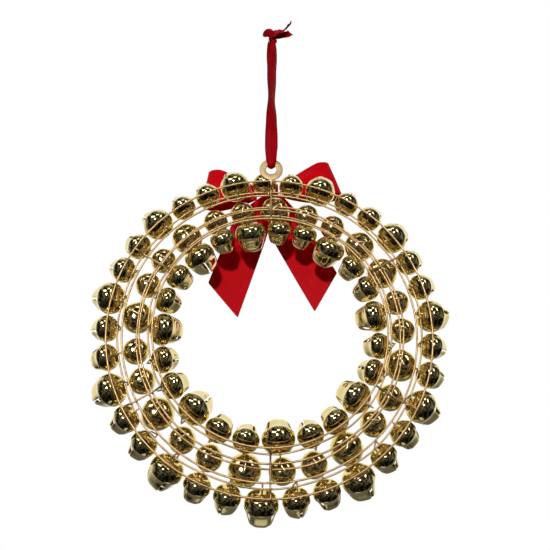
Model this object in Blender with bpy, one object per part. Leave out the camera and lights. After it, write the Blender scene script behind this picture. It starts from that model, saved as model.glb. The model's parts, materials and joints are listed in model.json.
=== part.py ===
"""A round wreath of jingle bells, hanging from a ribbon loop, with a ribbon bow on its front.

Four wire rings and six struts make the frame. Three more wire rings thread the bells: each bell hangs by
the wire loop on its dome. The row frame has its origin where the hook carries the ribbon loop, +Z up, with
the bow towards -Y and the bare frame towards +Y. Metres and degrees throughout.
"""

import math

import bmesh
import bpy
from mathutils import Matrix, Vector

# Driving dimensions.
WIRE_R = 0.00085
GAP = 0.0003

# The frame rings as (name, radius, depth behind the rear plane towards the bow).
FRAME_RINGS = (
    ("frame_ring_outer", 0.1400, 0.0),
    ("frame_ring_mid_outer", 0.1280, 0.0062),
    ("frame_ring_mid_inner", 0.1134, 0.0062),
    ("frame_ring_inner", 0.1013, 0.0),
)
RING_SEGMENTS = 40
RING_SIDES = 5
STRUT_SIDES = 6

STRUT_HOURS = (12, 2, 4, 6, 8, 10)
# One strut from the outer ring to the inner ring, as (radius, depth).
STRUT_ROUTE = (
    (0.13880, 0.0000),
    (0.13650, 0.0006),
    (0.13400, 0.0028),
    (0.13100, 0.0040),
    (0.11180, 0.0040),
    (0.10850, 0.0032),
    (0.10500, 0.0012),
    (0.10250, 0.0000),
)

WASHER_R = 0.0110
WASHER_HOLE_R = 0.0050
WASHER_THICK = 0.0014
WASHER_SEGMENTS = 28

LARGE_R = 0.0144
SMALL_R = 0.0117
SHELL = 0.0008
LOOP_R = 0.0021
LOOP_WIRE_R = 0.00055
# The loop's centre stands this far off the dome, so that the loop's foot is sunk in the metal.
LOOP_STAND = 0.0019
# The dome's rows, in degrees from its pole. The last is the rim, just past the widest place.
DOME_ROWS = (46, 91)
# A petal's rows, as (distance from the axis, height past the rim) in shares of the bell's radius.
PETAL_ROWS = ((0.97, 0.46), (0.78, 0.88), (0.20, 1.05))
# The middle of a petal is drawn in to this share, which makes it nearly flat.
PETAL_FLATNESS = 0.93
SLOT_HALF_ANGLE = 9.0
# The slots stand here, so that a bell turns the flats of its petals to its neighbours.
SLOT_TURN = 45.0
LOOP_SEGMENTS = 8
LOOP_SIDES = 4
SMALL_NECK_R = 0.0009
SMALL_BELL_SIDES = 7
# The small bell's outline, as (distance from the axis, height past the rim) in shares of its radius.
SMALL_BELL_ROWS = ((0.707, -0.707), (1.0, 0.0), (0.95, 0.48), (0.72, 0.94))

# Each row: threading ring radius and depth, lean of the large and of the small bells from the outward
# direction round towards the bow, the clock angle of the first bell, and the pattern with the angle to
# the next bell for each pair of sizes.
ROWS = {
    "outer": dict(
        ring_r=0.1320, depth=0.0065, lean={"L": 31.0, "S": 31.0}, start=19.1,
        pattern="LSS" * 11, step={"LS": 11.2, "SS": 10.3273, "SL": 11.2},
    ),
    "middle": dict(
        ring_r=0.1170, depth=0.0098, lean={"L": 81.0, "S": 81.0}, start=61.0,
        pattern="LSS" * 8 + "L", step={"LS": 15.0, "SS": 13.0, "SL": 15.0, "LL": 16.0},
    ),
    "inner": dict(
        ring_r=0.1055, depth=0.0050, lean={"L": 144.0, "S": 140.0}, start=348.6,
        pattern="LSS" * 7 + "LS", step={"LS": 16.2, "SS": 14.4, "SL": 16.2},
    ),
}

# The ribbon loop that the wreath hangs by.
HANGER_DROP = 0.1325
HANGER_WIDTH = 0.0120
HANGER_WIDTH_IN_HOLE = 0.0070
HANGER_THICK = 0.0006
# Heights below the hook at which each leg of the loop is given a section.
HANGER_LEVELS = (0.0, 0.012, 0.030, 0.055, 0.080, 0.105, 0.122)
# The legs widen from the narrow bight over this height.
HANGER_FLARE = 0.030
LEG_SPREAD = 0.0030
BIGHT_R = 0.0030
BIGHT_STEPS = 6
PIVOT_ABOVE_HOLE = 0.0030
HANG_TILT = 5.5

KNOT_CENTRE = (0.0, 0.0, 0.0083)
KNOT_HALF_SIZES = (0.0085, 0.0065, 0.0080)
# The two cut ends of the ribbon, laid together: their route out of the knot, and widths along it.
KNOT_ENDS = ((-0.001, 0.0005, 0.0120), (-0.007, 0.0010, 0.0185), (-0.016, 0.0015, 0.0205))
KNOT_END_WIDTHS = (0.0060, 0.0080, 0.0105)
KNOT_END_ACROSS = (0.53, 0.0, 0.85)
KNOT_END_THICK = 0.0016

# The bow, in the wreath's own plane: x to the right of someone who faces the bow.
BOW_DEPTH = 0.0440
BOW_CENTRE_UP = 0.1540
BOW_RIBBON = 0.0380
BOW_THICK = 0.0006
BOW_LOOP_START = 0.0165
BOW_LOOP_LENGTH = {"left": 0.0710, "right": 0.0665}
BOW_LOOP_FULLNESS = 0.0110
BOW_LOOP_RISE = {"left": 15.0, "right": 4.0}
BOW_LOOP_STEPS = 14
# How far round a half turn the loop's two ends lie, how blunt its end is, and how much fuller it is there.
BOW_LOOP_SWEEP = 0.98
BOW_LOOP_BLUNTNESS = 1.3
BOW_LOOP_BELLY = 0.25
# Share of the ribbon's width where the wrap gathers it, and how fast it widens from there.
BOW_LOOP_GATHERED = 0.30
BOW_LOOP_WIDENING = 0.90
TAIL_LENGTH = {"left": 0.1090, "right": 0.1125}
TAIL_CUT = 0.0230
TAIL_SPREAD = {"left": 28.7, "right": 18.0}
TAIL_LIFT = {"left": 0.0, "right": 0.0035}
TAIL_STEPS = 7
TAIL_BELLY = 0.0030
TAIL_GATHERED = 0.40
TAIL_WIDENING = 1.6
# How far a tail's middle shifts to its outer side as it widens, as a share of the added width.
TAIL_SHIFT = {"left": -0.21, "right": 0.27}
WRAP_WIDTH = 0.0180
WRAP_HEIGHT = 0.0240
WRAP_THICK = 0.0100
WRAP_ROUND = 0.0030
TIE_WIRE_R = 0.0005
TIE_WIRE_SIDES = 5
TIE_ANGLE = -8.0
# From the bow back between two bells and round the outer threading ring and frame_ring_mid_outer.
TIE_ROUTE = (
    (0.1340, 0.0200),
    (0.1346, 0.0100),
    (0.1343, 0.0048),
    (0.1325, 0.0036),
    (0.1285, 0.0036),
    (0.1262, 0.0044),
    (0.1256, 0.0070),
)

GOLD = ((0.83, 0.62, 0.30, 1.0), 0.16, 1.0)
WIRE_GOLD = ((0.86, 0.69, 0.43, 1.0), 0.34, 1.0)
RED_SATIN = ((0.42, 0.004, 0.012, 1.0), 0.42, 0.0)


def clear_scene():
    for found in list(bpy.data.objects):
        bpy.data.objects.remove(found, do_unlink=True)


def material(name, look):
    colour, roughness, metallic = look
    made = bpy.data.materials.new(name)
    made.use_nodes = True
    shader = made.node_tree.nodes["Principled BSDF"]
    shader.inputs["Base Color"].default_value = colour
    shader.inputs["Roughness"].default_value = roughness
    shader.inputs["Metallic"].default_value = metallic
    return made


def mesh_of(name, points, faces, look):
    """A mesh with its faces turned out, and its material."""
    mesh = bpy.data.meshes.new(name)
    mesh.from_pydata([tuple(p) for p in points], [], faces)
    work = bmesh.new()
    work.from_mesh(mesh)
    bmesh.ops.recalc_face_normals(work, faces=work.faces)
    work.to_mesh(mesh)
    work.free()
    mesh.materials.append(look)
    mesh.shade_smooth()
    mesh.set_sharp_from_angle(angle=math.radians(40))
    return mesh


def place(name, mesh, parent, matrix=Matrix.Identity(4)):
    made = bpy.data.objects.new(name, mesh)
    bpy.context.scene.collection.objects.link(made)
    made.parent = parent
    made.matrix_local = matrix
    return made


def empty(name, location=(0, 0, 0), tilt=0.0):
    made = bpy.data.objects.new(name, None)
    made.location = location
    made.rotation_euler = (math.radians(tilt), 0, 0)
    bpy.context.scene.collection.objects.link(made)
    return made


def bridge(faces, first, second, closed=True):
    """Quads between two loops of point numbers."""
    count = len(first)
    for i in range(count if closed else count - 1):
        j = (i + 1) % count
        faces.append((first[i], first[j], second[j], second[i]))


def tube(route, radius, sides, closed=False):
    """Points and faces of a tube along a route of points, with flat ends unless it is closed."""
    points, faces, loops = [], [], []
    count = len(route)
    side = None
    for i, centre in enumerate(route):
        before = route[(i - 1) % count] if closed or i else centre
        after = route[(i + 1) % count] if closed or i < count - 1 else centre
        along = (after - before).normalized()
        if side is None:
            side = along.orthogonal().normalized()
        side = (side - along * side.dot(along)).normalized()
        other = along.cross(side)
        loops.append(range(len(points), len(points) + sides))
        for k in range(sides):
            turn = math.tau * k / sides
            points.append(centre + radius * (math.cos(turn) * side + math.sin(turn) * other))
    for first, second in zip(loops, loops[1:]):
        bridge(faces, first, second)
    if closed:
        # The side vector may come back turned, so the last loop meets the first at its nearest point.
        last, start = list(loops[-1]), list(loops[0])
        shift = min(range(sides), key=lambda k: (points[last[0]] - points[start[k]]).length)
        bridge(faces, last, start[shift:] + start[:shift])
    else:
        faces += [tuple(loops[0]), tuple(loops[-1])]
    return points, faces


def outward(angle):
    """The unit vector from the wreath's centre at a clock angle, clockwise as seen from the rear."""
    turn = math.radians(angle)
    return Vector((-math.sin(turn), 0, math.cos(turn)))


FORWARD = Vector((0, -1, 0))


def in_wreath(angle, radius, depth):
    return outward(angle) * radius + FORWARD * depth


def ring_tube(radius, depth):
    """A wire ring whose straight stretches lie as far inside the true circle as its corners lie outside."""
    corner = 2 * radius / (1 + math.cos(math.pi / RING_SEGMENTS))
    route = [in_wreath(360 * i / RING_SEGMENTS, corner, depth) for i in range(RING_SEGMENTS)]
    return tube(route, WIRE_R, RING_SIDES, closed=True)


def bell_angles(row):
    """(size, clock angle) of each bell in a row."""
    pattern, step = row["pattern"], row["step"]
    found, angle = [], row["start"]
    for i, size in enumerate(pattern):
        found.append((size, angle % 360))
        angle += step[size + pattern[(i + 1) % len(pattern)]]
    return found


def bell_matrix(row, size, angle):
    """A bell's own frame: origin on the threading ring, x along the ring, z from its loop to its petals."""
    lean = math.radians(row["lean"][size])
    axis = outward(angle) * math.cos(lean) + FORWARD * math.sin(lean)
    along = outward(angle + 90)
    third = axis.cross(along)
    turned = Matrix((along, third, axis)).transposed().to_4x4()
    turned.translation = in_wreath(angle, row["ring_r"], row["depth"])
    return turned


def large_bell_points():
    """The hollow shell: a closed dome, and four petals parted by slots that meet in the middle of the end."""
    columns = []
    for quarter in range(4):
        slot = SLOT_TURN + 90 * quarter
        columns += [slot + SLOT_HALF_ANGLE, slot + 45, slot + 90 - SLOT_HALF_ANGLE]
    centre = LARGE_R + LOOP_STAND
    dome = [(math.sin(math.radians(a)), -math.cos(math.radians(a))) for a in DOME_ROWS]
    points, faces = [], []

    def skin(radius):
        """One skin of the shell, and its rows of point numbers, from the dome to the petals' ends."""
        pole = len(points)
        points.append(Vector((0, 0, centre - radius)))
        rows = []
        for k, (across, down) in enumerate([*dome, *PETAL_ROWS]):
            rows.append(range(len(points), len(points) + len(columns)))
            for i, column in enumerate(columns):
                turn = math.radians(column)
                mid_petal = k >= len(dome) and i % 3 == 1
                reach = radius * across * (PETAL_FLATNESS if mid_petal else 1.0)
                side = Vector((math.cos(turn), math.sin(turn), 0))
                points.append(side * reach + Vector((0, 0, centre + radius * down)))
        for i in range(len(columns)):
            faces.append((pole, rows[0][i], rows[0][(i + 1) % len(columns)]))
        for k in range(len(rows) - 1):
            for i in range(len(columns)):
                over_slot = i % 3 == 2
                if k < len(dome) - 1 or not over_slot:
                    j = (i + 1) % len(columns)
                    faces.append((rows[k][i], rows[k][j], rows[k + 1][j], rows[k + 1][i]))
        return rows

    outer, inner = skin(LARGE_R), skin(LARGE_R - SHELL)
    first_open = len(dome) - 1
    for i in range(len(columns)):
        j = (i + 1) % len(columns)
        if i % 3 == 2:
            rim, inner_rim = outer[first_open], inner[first_open]
            faces.append((rim[i], rim[j], inner_rim[j], inner_rim[i]))
            for column in (i, j):
                for k in range(first_open, len(outer) - 1):
                    faces.append(
                        (outer[k][column], outer[k + 1][column], inner[k + 1][column], inner[k][column])
                    )
        else:
            faces.append((outer[-1][i], outer[-1][j], inner[-1][j], inner[-1][i]))
    return points, faces


def large_bell_mesh(look):
    """The shell with its wire loop: a Boolean union, read back as one mesh that every large bell shares."""
    shell = place("bell_shell_guide", mesh_of("bell_shell", *large_bell_points(), look), None)
    route = [Vector((0, LOOP_R * math.cos(t), LOOP_R * math.sin(t))) for t in circle(LOOP_SEGMENTS)]
    loop_mesh = mesh_of("bell_loop", *tube(route, LOOP_WIRE_R, LOOP_SIDES, closed=True), look)
    return union("large_bell", shell, place("bell_loop_guide", loop_mesh, None))


def circle(count):
    return [math.tau * i / count for i in range(count)]


def union(name, body, addition):
    """One mesh of two guides, which are hidden from then on."""
    joined = body.modifiers.new("join", "BOOLEAN")
    joined.operation = "UNION"
    joined.object = addition
    for guide in (body, addition):
        guide.hide_render = True
        guide.display_type = "WIRE"
    graph = bpy.context.evaluated_depsgraph_get()
    mesh = bpy.data.meshes.new_from_object(body.evaluated_get(graph))
    mesh.name = name
    body.modifiers.remove(joined)
    return mesh


def small_bell_points():
    """A plain solid of the small bell's outer shape, with a neck in place of its loop."""
    centre = SMALL_R + LOOP_STAND
    neck_foot = centre - math.sqrt(SMALL_R**2 - SMALL_NECK_R**2)
    profile = [(SMALL_NECK_R, 0.0), (SMALL_NECK_R, neck_foot)]
    profile += [(SMALL_R * across, centre + SMALL_R * down) for across, down in SMALL_BELL_ROWS]
    points, faces, loops = [], [], []
    for radius, height in profile:
        turns = circle(SMALL_BELL_SIDES)
        loops.append(range(len(points), len(points) + len(turns)))
        points += [Vector((radius * math.cos(t), radius * math.sin(t), height)) for t in turns]
    for first, second in zip(loops, loops[1:]):
        bridge(faces, first, second)
    faces += [tuple(loops[0]), tuple(loops[-1])]
    return points, faces


def small_row_mesh(name, row, look):
    """A threading ring with its small bells joined to it."""
    ring_mesh = mesh_of(name + "_ring", *ring_tube(row["ring_r"], row["depth"]), look)
    ring = place(name + "_ring_guide", ring_mesh, None)
    points, faces = [], []
    bell, bell_faces = small_bell_points()
    for size, angle in bell_angles(row):
        if size == "S":
            where = bell_matrix(row, size, angle)
            faces += [tuple(i + len(points) for i in face) for face in bell_faces]
            points += [where @ p for p in bell]
    bells = place(name + "_bells_guide", mesh_of(name + "_bells", points, faces, look), None)
    return union(name, ring, bells)


def strip(route, widths, across, thick, cut=0.0):
    """A ribbon: a flat solid along a route, its width lying along the across vectors.

    cut lengthens the edge on the across side at the far end, for a slanting cut.
    """
    points, faces, loops = [], [], []
    count = len(route)
    for i, centre in enumerate(route):
        along = (route[min(i + 1, count - 1)] - route[max(i - 1, 0)]).normalized()
        side = (across[i] - along * across[i].dot(along)).normalized()
        normal = along.cross(side)
        slant = cut * along if i == count - 1 else Vector()
        edge_a, edge_b = centre + side * widths[i] / 2 + slant, centre - side * widths[i] / 2
        half = normal * thick / 2
        loops.append(range(len(points), len(points) + 4))
        points += [edge_a + half, edge_b + half, edge_b - half, edge_a - half]
    for first, second in zip(loops, loops[1:]):
        bridge(faces, first, second)
    faces += [tuple(loops[0]), tuple(loops[-1])]
    return points, faces


def make_frame(wreath, look):
    for name, radius, depth in FRAME_RINGS:
        place(name, mesh_of(name, *ring_tube(radius, depth), look), wreath)
    for hour in STRUT_HOURS:
        angle = (hour % 12) * 30
        route = [in_wreath(angle, radius, depth) for radius, depth in STRUT_ROUTE]
        name = f"strut_{hour}"
        place(name, mesh_of(name, *tube(route, WIRE_R, STRUT_SIDES), look), wreath)


def washer_centre():
    return in_wreath(0, FRAME_RINGS[0][1] + WIRE_R + GAP + WASHER_R, 0)


def make_washer(wreath, look):
    points, faces, loops = [], [], []
    turns = circle(WASHER_SEGMENTS)
    half = WASHER_THICK / 2
    for radius, depth in ((WASHER_R, half), (WASHER_R, -half), (WASHER_HOLE_R, -half), (WASHER_HOLE_R, half)):
        loops.append(range(len(points), len(points) + len(turns)))
        points += [
            washer_centre() + Vector((radius * math.cos(t), depth, radius * math.sin(t))) for t in turns
        ]
    for i in range(4):
        bridge(faces, loops[i], loops[(i + 1) % 4])
    place("hanging_washer", mesh_of("hanging_washer", points, faces, look), wreath)


def make_bells(wreath, look):
    shared = large_bell_mesh(look)
    for row_name, row in ROWS.items():
        name = f"{row_name}_row_small_bells"
        place(name, small_row_mesh(name, row, look), wreath)
        large = [angle for size, angle in bell_angles(row) if size == "L"]
        for number, angle in enumerate(large, 1):
            place(f"{row_name}_bell_{number:02d}", shared, wreath, bell_matrix(row, "L", angle))


def bow_point(right, up, depth):
    """A point of the bow: right of its centre as someone who faces the bow sees it, and up."""
    return Vector((right, -BOW_DEPTH - depth, BOW_CENTRE_UP + up))


def make_bow_loop(wreath, side, look):
    """A ribbon loop: out along the front, round the end, and back along the rear."""
    rise = math.radians(BOW_LOOP_RISE[side])
    sign = 1 if side == "right" else -1
    out = Vector((sign * math.cos(rise), 0, math.sin(rise)))
    across = Vector((-sign * math.sin(rise), 0, math.cos(rise)))
    route, widths = [], []
    for i in range(BOW_LOOP_STEPS + 1):
        turn = math.tau * (i / BOW_LOOP_STEPS - 0.5) * BOW_LOOP_SWEEP
        share = math.cos(turn / 2) ** BOW_LOOP_BLUNTNESS
        reach = BOW_LOOP_START + (BOW_LOOP_LENGTH[side] - BOW_LOOP_START) * share
        depth = BOW_LOOP_FULLNESS * (1 + math.sin(turn) * (1 + BOW_LOOP_BELLY * math.cos(turn)))
        route.append(bow_point(0, 0, depth) + out * reach)
        widths.append(BOW_RIBBON * min(1.0, BOW_LOOP_GATHERED + BOW_LOOP_WIDENING * share))
    name = f"bow_loop_{side}"
    ribbon = strip(route, widths, [across] * len(route), BOW_THICK)
    place(name, mesh_of(name, *ribbon, look), wreath)


def make_bow_tail(wreath, side, look):
    spread = math.radians(TAIL_SPREAD[side])
    sign = 1 if side == "right" else -1
    out = Vector((sign * math.sin(spread), 0, -math.cos(spread)))
    across = Vector((-sign * math.cos(spread), 0, -math.sin(spread)))
    route, widths = [], []
    for i in range(TAIL_STEPS + 1):
        share = i / TAIL_STEPS
        reach = WRAP_HEIGHT / 2 + GAP + (TAIL_LENGTH[side] - TAIL_CUT / 2) * share
        depth = TAIL_LIFT[side] + TAIL_BELLY * math.sin(math.pi * share)
        width = BOW_RIBBON * min(1.0, TAIL_GATHERED + TAIL_WIDENING * share)
        offset = -across * TAIL_SHIFT[side] * (width - BOW_RIBBON * TAIL_GATHERED)
        route.append(bow_point(0, 0, depth) + out * reach + offset)
        widths.append(width)
    name = f"bow_tail_{side}"
    ribbon = strip(route, widths, [across] * len(route), BOW_THICK, TAIL_CUT)
    place(name, mesh_of(name, *ribbon, look), wreath)


def make_bow_wrap(wreath, look):
    """The short band round the bow's middle."""
    bpy.ops.mesh.primitive_cube_add(size=1)
    made = bpy.context.object
    made.name = made.data.name = "bow_wrap"
    made.data.transform(Matrix.Diagonal((WRAP_WIDTH, WRAP_THICK, WRAP_HEIGHT, 1)))
    made.data.materials.append(look)
    made.parent = wreath
    made.location = bow_point(0, 0, BOW_LOOP_FULLNESS)
    bevel = made.modifiers.new("round", "BEVEL")
    bevel.width = WRAP_ROUND
    bevel.segments = 2


def make_tie_wire(wreath, look):
    """The wire that holds the bow: from just behind its wrap back to the rings."""
    start = bow_point(0, 0, BOW_LOOP_FULLNESS - WRAP_THICK / 2 - GAP)
    route = [start] + [in_wreath(TIE_ANGLE, radius, depth) for radius, depth in TIE_ROUTE]
    place("bow_tie_wire", mesh_of("bow_tie_wire", *tube(route, TIE_WIRE_R, TIE_WIRE_SIDES), look), wreath)


def make_hanger(hanger, look):
    """The loop of narrow ribbon, from under the knot, through the washer's hole and back up."""
    front, widths = [], []
    for level in HANGER_LEVELS:
        spread = BIGHT_R + LEG_SPREAD * math.sin(math.pi * level / HANGER_DROP)
        flare = min(1.0, (HANGER_DROP - level) / HANGER_FLARE)
        front.append(Vector((0, -spread, -level)))
        widths.append(HANGER_WIDTH_IN_HOLE + (HANGER_WIDTH - HANGER_WIDTH_IN_HOLE) * flare)
    centre = BIGHT_R - HANGER_DROP
    turns = [math.pi * i / BIGHT_STEPS for i in range(BIGHT_STEPS + 1)]
    bight = [Vector((0, -BIGHT_R * math.cos(t), centre - BIGHT_R * math.sin(t))) for t in turns]
    rear = [Vector((0, -p.y, p.z)) for p in reversed(front)]
    route = front + bight + rear
    all_widths = widths + [HANGER_WIDTH_IN_HOLE] * len(bight) + widths[::-1]
    across = [Vector((1, 0, 0))] * len(route)
    ribbon = strip(route, all_widths, across, HANGER_THICK)
    place("hanger_ribbon", mesh_of("hanger_ribbon", *ribbon, look), hanger)


def make_knot(hanger, look):
    """The overhand knot above the hook, with the ribbon's two ends standing out of it."""
    work = bmesh.new()
    bmesh.ops.create_icosphere(work, subdivisions=2, radius=1.0)
    mesh = bpy.data.meshes.new("knot_guide")
    work.to_mesh(mesh)
    work.free()
    mesh.transform(Matrix.Translation(KNOT_CENTRE) @ Matrix.Diagonal((*KNOT_HALF_SIZES, 1)))
    mesh.materials.append(look)
    knot = place("knot_guide", mesh, None)
    route = [Vector(p) for p in KNOT_ENDS]
    across = [Vector(KNOT_END_ACROSS)] * len(route)
    strip_mesh = mesh_of("knot_ends", *strip(route, KNOT_END_WIDTHS, across, KNOT_END_THICK), look)
    ends = place("knot_ends_guide", strip_mesh, None)
    place("hanger_knot", union("hanger_knot", knot, ends), hanger)


def main():
    clear_scene()
    gold = material("polished_gold", GOLD)
    wire_gold = material("satin_gold_wire", WIRE_GOLD)
    red = material("red_satin", RED_SATIN)
    hanger = empty("hanger")
    pivot = empty("wreath_pivot", (0, 0, -HANGER_DROP), HANG_TILT)
    wreath = empty("wreath_centre")
    wreath.parent = pivot
    wreath.location = -washer_centre() - Vector((0, 0, PIVOT_ABOVE_HOLE))
    bpy.context.view_layer.update()
    make_frame(wreath, wire_gold)
    make_washer(wreath, wire_gold)
    make_bells(wreath, gold)
    for side in ("left", "right"):
        make_bow_loop(wreath, side, red)
        make_bow_tail(wreath, side, red)
    make_bow_wrap(wreath, red)
    make_tie_wire(wreath, wire_gold)
    make_hanger(hanger, red)
    make_knot(hanger, red)


main()
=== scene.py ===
"""The looks of the jingle bell wreath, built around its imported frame.

The CAD nodes settle every place and size. Each bell, wire, weld and ribbon here stands for its CAD node or
rides on that node's body. Metres and degrees throughout, in the row frame: +Z up, the bow towards -Y.
"""

import json
import math
import random

import bmesh
import bpy
from mathutils import Matrix, Vector, noise


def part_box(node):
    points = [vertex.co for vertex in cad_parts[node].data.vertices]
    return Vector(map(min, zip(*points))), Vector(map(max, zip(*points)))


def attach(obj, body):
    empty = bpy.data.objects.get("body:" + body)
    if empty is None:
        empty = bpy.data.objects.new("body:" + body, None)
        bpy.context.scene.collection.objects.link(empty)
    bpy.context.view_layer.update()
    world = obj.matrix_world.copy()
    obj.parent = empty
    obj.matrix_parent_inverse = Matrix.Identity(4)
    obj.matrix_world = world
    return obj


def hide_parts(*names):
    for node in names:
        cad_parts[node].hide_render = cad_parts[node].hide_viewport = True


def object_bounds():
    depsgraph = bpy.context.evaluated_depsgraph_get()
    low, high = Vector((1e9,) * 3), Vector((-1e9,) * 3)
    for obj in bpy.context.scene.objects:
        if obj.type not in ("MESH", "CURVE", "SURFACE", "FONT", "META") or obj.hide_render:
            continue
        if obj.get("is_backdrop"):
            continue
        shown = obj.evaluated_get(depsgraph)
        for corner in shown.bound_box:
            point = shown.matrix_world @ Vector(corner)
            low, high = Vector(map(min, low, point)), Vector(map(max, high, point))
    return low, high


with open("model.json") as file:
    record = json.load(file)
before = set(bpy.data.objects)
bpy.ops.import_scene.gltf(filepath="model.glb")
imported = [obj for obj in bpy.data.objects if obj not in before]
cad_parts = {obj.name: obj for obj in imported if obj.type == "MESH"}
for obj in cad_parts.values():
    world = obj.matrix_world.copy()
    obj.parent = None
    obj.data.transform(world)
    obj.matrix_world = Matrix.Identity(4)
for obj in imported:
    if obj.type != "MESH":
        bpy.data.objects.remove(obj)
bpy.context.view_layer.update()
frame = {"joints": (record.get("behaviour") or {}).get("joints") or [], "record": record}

# The rows of bells, as in the part: threading ring radius and depth, lean of each size from the outward
# direction towards the bow, first clock angle, order of sizes, and angle from each bell to the next.
ROWS = {
    "outer": dict(
        ring_r=0.1320, depth=0.0065, lean={"L": 31.0, "S": 31.0}, start=19.1,
        pattern="LSS" * 11, step={"LS": 11.2, "SS": 10.3273, "SL": 11.2},
    ),
    "middle": dict(
        ring_r=0.1170, depth=0.0098, lean={"L": 81.0, "S": 81.0}, start=61.0,
        pattern="LSS" * 8 + "L", step={"LS": 15.0, "SS": 13.0, "SL": 15.0, "LL": 16.0},
    ),
    "inner": dict(
        ring_r=0.1055, depth=0.0050, lean={"L": 144.0, "S": 140.0}, start=348.6,
        pattern="LSS" * 7 + "LS", step={"LS": 16.2, "SS": 14.4, "SL": 16.2},
    ),
}
BELL_R = {"L": 0.0144, "S": 0.0117}
LOOP_STAND = 0.0019
SHEET_METAL = 0.0007
WIRE_R = 0.00085

FRAME_RINGS = (
    ("frame_ring_outer", 0.1400, 0.0),
    ("frame_ring_mid_outer", 0.1280, 0.0062),
    ("frame_ring_mid_inner", 0.1134, 0.0062),
    ("frame_ring_inner", 0.1013, 0.0),
)
STRUT_HOURS = (12, 2, 4, 6, 8, 10)
STRUT_ROUTE = (
    (0.14000, 0.0000),
    (0.13650, 0.0006),
    (0.13400, 0.0028),
    (0.13100, 0.0040),
    (0.12400, 0.0041),
    (0.11180, 0.0040),
    (0.10850, 0.0032),
    (0.10500, 0.0012),
    (0.10130, 0.0000),
)

# The camera stands behind and below the wreath, and looks up at its bare rear.
CAMERA_PLACE = (0.0150, 0.5291, -0.3742)
CAMERA_LOOKS_UP = 14.41
CAMERA_TURN = 2.05
CAMERA_ROLL = 0.2
CAMERA_LENS = 39.6


# ---------------------------------------------------------------- places in the wreath

def wreath_axes():
    """(centre, right, rear, up) of the wreath's own frame, from the CAD joints and its washer's face."""
    joints = {j["child"]: j for j in frame["joints"]}
    outer = [Vector(j["pos_m"]) for child, j in joints.items() if child.startswith("outer_bell")]
    mounts = {m["name"]: m for m in frame["record"]["mounts"]}
    rear = Vector(mounts["washer_rear_face"]["axis"]).normalized()
    right = Vector((1, 0, 0))
    centre = sum(outer, Vector()) / len(outer) + rear * ROWS["outer"]["depth"]
    return centre, right, rear, right.cross(rear)


CENTRE, RIGHT, REAR, UP = wreath_axes()
FORWARD = -REAR
WREATH = Matrix((RIGHT, REAR, UP)).transposed().to_4x4()
WREATH.translation = CENTRE


def outward(angle):
    """The unit vector from the wreath's centre at a clock angle, clockwise as seen from the rear."""
    turn = math.radians(angle)
    return RIGHT * -math.sin(turn) + UP * math.cos(turn)


def in_wreath(angle, radius, depth):
    return CENTRE + outward(angle) * radius + FORWARD * depth


def bell_angles(row):
    """(size, clock angle) of each bell in a row."""
    pattern, step = row["pattern"], row["step"]
    found, angle = [], row["start"]
    for i, size in enumerate(pattern):
        found.append((size, angle % 360))
        angle += step[size + pattern[(i + 1) % len(pattern)]]
    return found


def bell_matrix(row, size, angle, lean_change, roll):
    """A bell's frame: its origin on the threading ring, x along the ring, z from its loop to its petals."""
    lean = math.radians(row["lean"][size] + lean_change)
    axis = outward(angle) * math.cos(lean) + FORWARD * math.sin(lean)
    along = outward(angle + 90)
    turned = Matrix((along, axis.cross(along), axis)).transposed().to_4x4()
    turned.translation = in_wreath(angle, row["ring_r"], row["depth"])
    return turned @ Matrix.Rotation(math.radians(roll), 4, "Z")


# ---------------------------------------------------------------- materials

class Nodes:
    """A short way to write the nodes of a material or a world."""

    def __init__(self, owner):
        owner.use_nodes = True
        self.material = owner
        self.tree = owner.node_tree
        self.shader = self.tree.nodes.get("Principled BSDF")

    def add(self, kind, **values):
        """A node, with its properties and sockets set. A socket's value may be another node's output."""
        made = self.tree.nodes.new(kind)
        for key, value in values.items():
            if hasattr(made, key) and not isinstance(value, bpy.types.NodeSocket):
                setattr(made, key, value)
            else:
                self.put(made, key.replace("_", " "), value)
        return made

    def put(self, node, socket, value):
        found = node.inputs[socket]
        if isinstance(value, bpy.types.NodeSocket):
            self.tree.links.new(value, found)
        else:
            found.default_value = value

    def math(self, operation, *values):
        made = self.add("ShaderNodeMath", operation=operation)
        for socket, value in enumerate(values):
            self.put(made, socket, value)
        return made.outputs[0]

    def spread(self, value, source, target=(0.0, 1.0), kind="LINEAR"):
        """A value carried from one range to another."""
        made = self.add("ShaderNodeMapRange", interpolation_type=kind)
        for socket, number in enumerate((value, *source, *target)):
            self.put(made, socket, number)
        return made.outputs[0]

    def ramp(self, factor, *stops, kind="LINEAR"):
        """A colour ramp through (position, colour or grey) stops."""
        made = self.add("ShaderNodeValToRGB")
        self.put(made, 0, factor)
        made.color_ramp.interpolation = kind
        elements = made.color_ramp.elements
        while len(elements) < len(stops):
            elements.new(0.5)
        for element, (position, colour) in zip(elements, stops):
            element.position = position
            grey = isinstance(colour, (int, float))
            element.color = (colour, colour, colour, 1) if grey else (*colour, 1)
        return made.outputs[0]

    def noise(self, place, scale, detail=2.0, roughness=0.5):
        made = self.add("ShaderNodeTexNoise", Vector=place, Scale=scale, Detail=detail, Roughness=roughness)
        return made.outputs["Fac"]

    def bump(self, height, strength, distance, normal=None):
        made = self.add("ShaderNodeBump", Height=height, Strength=strength, Distance=distance)
        if normal is not None:
            self.put(made, "Normal", normal)
        return made.outputs["Normal"]

    def scaled(self, place, scale):
        return self.add("ShaderNodeMapping", Vector=place, Scale=scale).outputs["Vector"]

    def object_place(self, scale=(1, 1, 1)):
        return self.scaled(self.add("ShaderNodeTexCoord").outputs["Object"], scale)

    def mix_shaders(self, factor, first, second):
        made = self.add("ShaderNodeMixShader")
        for socket, value in enumerate((factor, first.outputs[0], second.outputs[0])):
            self.put(made, socket, value)
        return made.outputs[0]


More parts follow.
